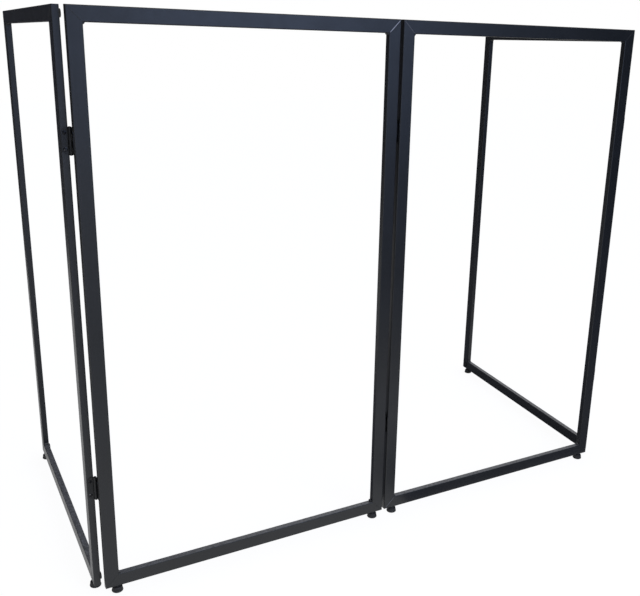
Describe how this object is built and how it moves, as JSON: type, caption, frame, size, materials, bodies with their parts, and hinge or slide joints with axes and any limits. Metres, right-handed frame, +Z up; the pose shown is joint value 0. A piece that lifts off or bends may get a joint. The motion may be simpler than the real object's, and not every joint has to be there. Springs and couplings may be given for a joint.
{
  "type": "dj booth",
  "caption": "Folding front for a performer's table: hinged rectangular tube frames in a row, the outer ones turned back as wings, standing on levelling feet.",
  "frame": {"origin": "on the floor under the feet, in the middle of the booth's outline as it stands in the picture", "axes": "+X along the front, to the right as the audience sees it; +Y back towards the performer; +Z up"},
  "size_m": [1.5414, 0.7388, 1.235],
  "materials": {
    "frame_coating": "satin black powder coat, fine texture",
    "hinge_coating": "semi-gloss black paint on pressed steel",
    "pin_steel": "black-oxide steel, worn bright at the heads",
    "screw_steel": "black zinc, bright in the recess",
    "insert_steel": "zinc plated",
    "stud_steel": "zinc plated thread",
    "foot_rubber": "matt moulded black",
    "bumper_rubber": "matt moulded black"
  },
  "bodies": {
    "left_wing_panel": {"left_wing_top_rail": "frame_coating", "left_wing_bottom_rail": "frame_coating", "left_wing_left_stile": "frame_coating", "left_wing_right_stile": "frame_coating", "left_wing_foot_inserts": "insert_steel", "left_wing_bumpers": "bumper_rubber", "left_wing_hinge_screws": "screw_steel", "left_wing_hinge_lower_left_leaf": "hinge_coating", "left_wing_hinge_upper_left_leaf": "hinge_coating"},
    "front_left_panel": {"front_left_top_rail": "frame_coating", "front_left_bottom_rail": "frame_coating", "front_left_left_stile": "frame_coating", "front_left_right_stile": "frame_coating", "front_left_foot_inserts": "insert_steel", "front_left_hinge_screws": "screw_steel", "left_wing_hinge_pins": "pin_steel", "left_wing_hinge_lower_right_leaf": "hinge_coating", "left_wing_hinge_upper_right_leaf": "hinge_coating", "centre_hinge_lower_left_leaf": "hinge_coating", "centre_hinge_upper_left_leaf": "hinge_coating"},
    "front_right_panel": {"front_right_top_rail": "frame_coating", "front_right_bottom_rail": "frame_coating", "front_right_left_stile": "frame_coating", "front_right_right_stile": "frame_coating", "front_right_foot_inserts": "insert_steel", "front_right_hinge_screws": "screw_steel", "centre_hinge_pins": "pin_steel", "centre_hinge_lower_right_leaf": "hinge_coating", "centre_hinge_upper_right_leaf": "hinge_coating", "right_wing_hinge_lower_left_leaf": "hinge_coating", "right_wing_hinge_upper_left_leaf": "hinge_coating"},
    "right_wing_panel": {"right_wing_top_rail": "frame_coating", "right_wing_bottom_rail": "frame_coating", "right_wing_left_stile": "frame_coating", "right_wing_right_stile": "frame_coating", "right_wing_foot_inserts": "insert_steel", "right_wing_bumpers": "bumper_rubber", "right_wing_hinge_screws": "screw_steel", "right_wing_hinge_pins": "pin_steel", "right_wing_hinge_lower_right_leaf": "hinge_coating", "right_wing_hinge_upper_right_leaf": "hinge_coating"},
    "left_wing_left_foot": {"left_wing_left_foot_pad": "foot_rubber", "left_wing_left_foot_stud": "stud_steel"},
    "left_wing_right_foot": {"left_wing_right_foot_pad": "foot_rubber", "left_wing_right_foot_stud": "stud_steel"},
    "front_left_left_foot": {"front_left_left_foot_pad": "foot_rubber", "front_left_left_foot_stud": "stud_steel"},
    "front_left_right_foot": {"front_left_right_foot_pad": "foot_rubber", "front_left_right_foot_stud": "stud_steel"},
    "front_right_left_foot": {"front_right_left_foot_pad": "foot_rubber", "front_right_left_foot_stud": "stud_steel"},
    "front_right_right_foot": {"front_right_right_foot_pad": "foot_rubber", "front_right_right_foot_stud": "stud_steel"},
    "right_wing_left_foot": {"right_wing_left_foot_pad": "foot_rubber", "right_wing_left_foot_stud": "stud_steel"},
    "right_wing_right_foot": {"right_wing_right_foot_pad": "foot_rubber", "right_wing_right_foot_stud": "stud_steel"}
  },
  "joints": [
    {"name": "left_wing_fold", "type": "hinge", "parent": "front_left_panel", "child": "left_wing_panel", "pos_m": [-0.74875, -0.34234, 0.015], "axis": [0, 0, 1], "range_deg": [-77.5, 107.5]},
    {"name": "centre_fold", "type": "hinge", "parent": "front_left_panel", "child": "front_right_panel", "pos_m": [-0.03355, -0.34234, 0.015], "axis": [0, 0, 1], "range_deg": [-16.6, 90.4]},
    {"name": "right_wing_fold", "type": "hinge", "parent": "front_right_panel", "child": "right_wing_panel", "pos_m": [0.68163, -0.34733, 0.015], "axis": [0, 0, -1], "range_deg": [-83.2, 101.8]},
    {"name": "left_wing_left_foot_height", "type": "slide", "parent": "left_wing_panel", "child": "left_wing_left_foot", "axis": [0, 0, 1], "range_m": [-0.012, 0]},
    {"name": "left_wing_right_foot_height", "type": "slide", "parent": "left_wing_panel", "child": "left_wing_right_foot", "axis": [0, 0, 1], "range_m": [-0.012, 0]},
    {"name": "front_left_left_foot_height", "type": "slide", "parent": "front_left_panel", "child": "front_left_left_foot", "axis": [0, 0, 1], "range_m": [-0.012, 0]},
    {"name": "front_left_right_foot_height", "type": "slide", "parent": "front_left_panel", "child": "front_left_right_foot", "axis": [0, 0, 1], "range_m": [-0.012, 0]},
    {"name": "front_right_left_foot_height", "type": "slide", "parent": "front_right_panel", "child": "front_right_left_foot", "axis": [0, 0, 1], "range_m": [-0.012, 0]},
    {"name": "front_right_right_foot_height", "type": "slide", "parent": "front_right_panel", "child": "front_right_right_foot", "axis": [0, 0, 1], "range_m": [-0.012, 0]},
    {"name": "right_wing_left_foot_height", "type": "slide", "parent": "right_wing_panel", "child": "right_wing_left_foot", "axis": [0, 0, 1], "range_m": [-0.012, 0]},
    {"name": "right_wing_right_foot_height", "type": "slide", "parent": "right_wing_panel", "child": "right_wing_right_foot", "axis": [0, 0, 1], "range_m": [-0.012, 0]}
  ]
}
